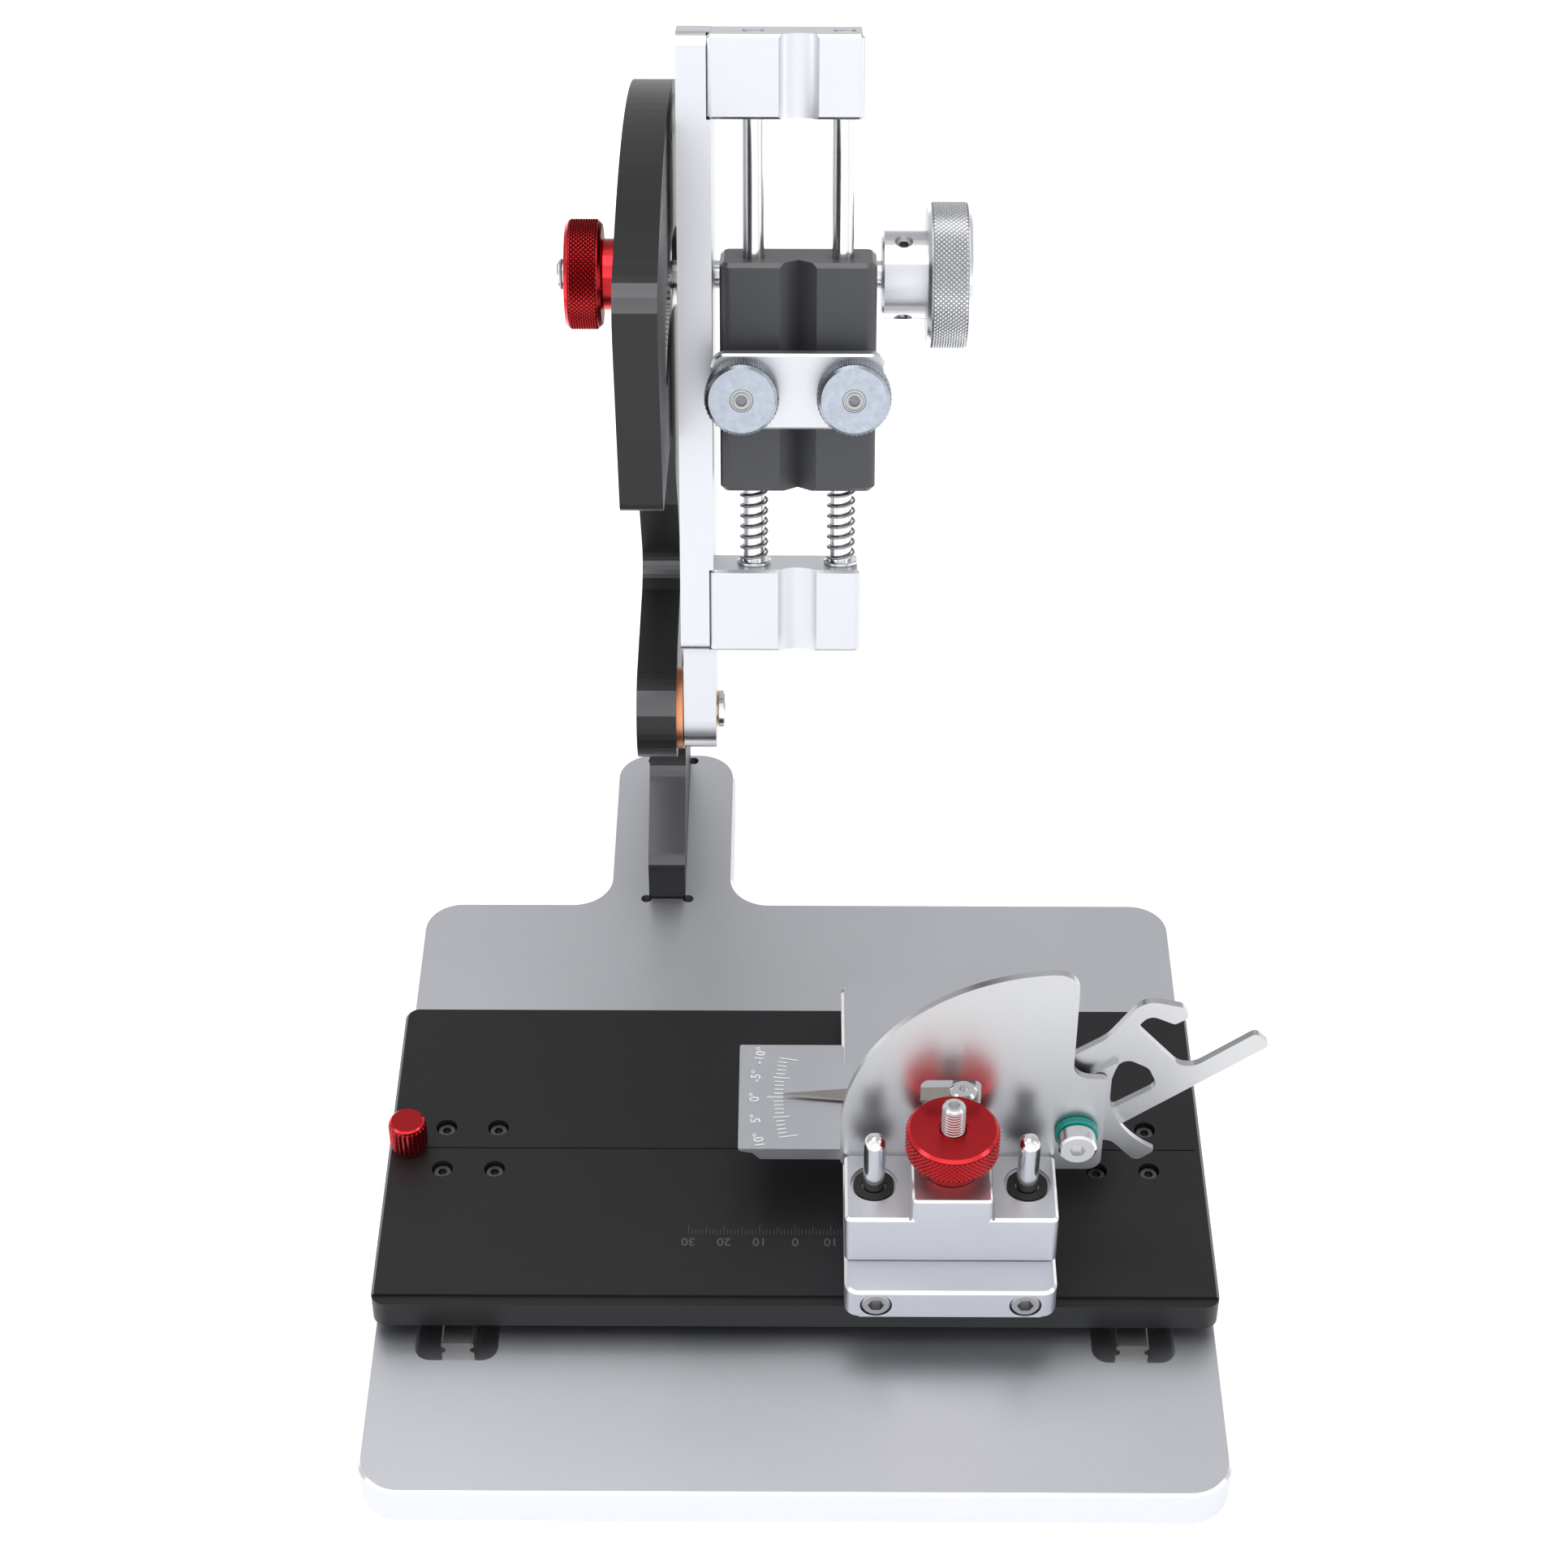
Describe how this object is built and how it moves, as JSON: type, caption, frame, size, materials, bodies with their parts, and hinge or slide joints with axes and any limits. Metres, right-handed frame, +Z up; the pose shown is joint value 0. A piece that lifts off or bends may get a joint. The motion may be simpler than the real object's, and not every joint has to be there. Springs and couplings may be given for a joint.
{
  "type": "golf club angle gauge",
  "caption": "Bench gauge that holds a golf club in a tilting clamp and reads its loft, lie and face angles on plates and a sliding head.",
  "frame": {"origin": "centre of the main base plate's underside", "axes": "+X to the right as used, +Y from the user's edge to the column, +Z up; the club shaft's plane is X = 0"},
  "size_m": [0.2447, 0.3524, 0.3065],
  "materials": {
    "silver_anodised": "bead-blasted, clear anodised, bright chamfers",
    "black_anodised": "black anodised, satin",
    "red_anodised": "red anodised, diamond knurled rims",
    "rail_steel": "ground bearing steel",
    "black_plastic": "moulded",
    "black_rubber": "moulded seal",
    "screw_steel": "plain steel fasteners",
    "chrome_pins": "polished and chromed",
    "spring_steel": "drawn spring wire",
    "needle_steel": "ground, bright bevels",
    "satin_steel": "satin, softly reflecting sheet",
    "copper": "bare copper",
    "bronze": "sintered bronze",
    "teal_plastic": "moulded ring",
    "zinc": "zinc plated, knurled rim"
  },
  "bodies": {
    "base": {"base_plate": "silver_anodised", "rail_left": "rail_steel", "rail_right": "rail_steel", "rail_screws": "screw_steel", "column": "black_anodised", "column_screws": "screw_steel", "lie_rack": "rail_steel", "pivot_pin": "chrome_pins", "pivot_nut": "screw_steel", "thrust_washer": "copper"},
    "table": {"cross_table": "black_anodised", "carriage_left": "rail_steel", "carriage_right": "rail_steel", "carriage_caps": "black_plastic", "carriage_screws": "screw_steel"},
    "table_lock": {"table_lock_knob": "red_anodised"},
    "saddle": {"saddle_plate": "silver_anodised", "gib_screws": "screw_steel", "guide_pins": "chrome_pins", "lift_stud": "chrome_pins"},
    "head": {"head_block": "silver_anodised", "linear_bearings": "rail_steel", "bearing_seals": "black_rubber", "loft_quadrant": "satin_steel", "quadrant_screws": "screw_steel", "swivel_bracket": "silver_anodised", "bracket_screws": "screw_steel", "face_pivot_pin": "chrome_pins", "needle_pointer": "needle_steel", "needle_screw": "chrome_pins", "loft_pivot_screw": "chrome_pins", "friction_ring": "teal_plastic", "loft_pivot_nut": "screw_steel"},
    "lift_knob": {"head_knob": "red_anodised"},
    "lever": {"loft_lever": "satin_steel", "loft_finger": "satin_steel"},
    "face": {"face_plate": "silver_anodised"},
    "lie_arm": {"arm_plate": "silver_anodised", "lower_block": "silver_anodised", "upper_block": "silver_anodised", "block_screws": "screw_steel", "guide_rods": "chrome_pins", "pivot_bush": "bronze", "spring_seats": "chrome_pins", "shaft_springs": "spring_steel"},
    "pinion": {"pinion_shaft": "chrome_pins", "lie_pinion": "rail_steel", "lie_knob": "silver_anodised", "knob_set_screws": "screw_steel"},
    "lie_lock": {"lie_lock_knob": "red_anodised", "lock_washer": "screw_steel"},
    "clamp": {"clamp_block": "black_anodised", "rod_bushes": "bronze"},
    "clamp_cover": {"clamp_plate": "silver_anodised"},
    "thumb_left": {"thumb_screw_left": "zinc"},
    "thumb_right": {"thumb_screw_right": "zinc"}
  },
  "joints": [
    {"name": "table_slide", "type": "slide", "parent": "base", "child": "table", "axis": [0, 1, 0], "range_m": [-0.035, 0.035]},
    {"name": "table_lock_turn", "type": "hinge", "parent": "table", "child": "table_lock", "pos_m": [-0.1113, -0.003, 0.033], "axis": [0, 0, 1], "range_deg": [0, 360]},
    {"name": "saddle_slide", "type": "slide", "parent": "table", "child": "saddle", "axis": [1, 0, 0], "range_m": [-0.05, 0.04]},
    {"name": "head_lift", "type": "slide", "parent": "saddle", "child": "head", "axis": [0, 0, 1], "range_m": [0, 0.012]},
    {"name": "lift_knob_turn", "type": "hinge", "parent": "head", "child": "lift_knob", "pos_m": [0.0425, -0.042, 0.073], "axis": [0, 0, 1], "range_deg": [0, 4325]},
    {"name": "loft_swing", "type": "hinge", "parent": "head", "child": "lever", "pos_m": [0.077, -0.027, 0.0647], "axis": [0, 1, 0], "range_deg": [-115, 15]},
    {"name": "face_swivel", "type": "hinge", "parent": "head", "child": "face", "pos_m": [0.083, -0.0035, 0.0465], "axis": [0, 0, 1], "range_deg": [-10, 10]},
    {"name": "lie_tilt", "type": "hinge", "parent": "base", "child": "lie_arm", "pos_m": [-0.0283, 0.0989, 0.107], "axis": [1, 0, 0], "range_deg": [-20.5, 19.5]},
    {"name": "pinion_turn", "type": "hinge", "parent": "lie_arm", "child": "pinion", "pos_m": [0, 0.1423, 0.22954], "axis": [1, 0, 0], "range_deg": [-320, 320]},
    {"name": "lie_lock_turn", "type": "hinge", "parent": "lie_arm", "child": "lie_lock", "pos_m": [-0.055, 0.1423, 0.22954], "axis": [1, 0, 0], "range_deg": [0, 360]},
    {"name": "clamp_slide", "type": "slide", "parent": "lie_arm", "child": "clamp", "axis": [0, 0.3338, 0.9426], "range_m": [-0.01, 0.038], "stiffness_N_per_m": 400, "springref_m": 0.006, "deforming": ["shaft_springs"]},
    {"name": "cover_lift", "type": "slide", "parent": "clamp", "child": "clamp_cover", "axis": [0, -0.9426, 0.3338], "range_m": [0, 0.0045]},
    {"name": "thumb_left_turn", "type": "hinge", "parent": "clamp_cover", "child": "thumb_left", "pos_m": [-0.0152, 0.09048, 0.22402], "axis": [0, -0.9426, 0.3338], "range_deg": [0, 1625]},
    {"name": "thumb_right_turn", "type": "hinge", "parent": "clamp_cover", "child": "thumb_right", "pos_m": [0.0152, 0.09048, 0.22402], "axis": [0, -0.9426, 0.3338], "range_deg": [0, 1625]}
  ],
  "couplings": [
    {"joint": "lift_knob_turn", "follows": "head_lift", "rad_per_m": 6283.2},
    {"joint": "pinion_turn", "follows": "lie_tilt", "ratio": 15.25},
    {"joint": "thumb_left_turn", "follows": "cover_lift", "rad_per_m": 6283.2},
    {"joint": "thumb_right_turn", "follows": "cover_lift", "rad_per_m": 6283.2}
  ]
}
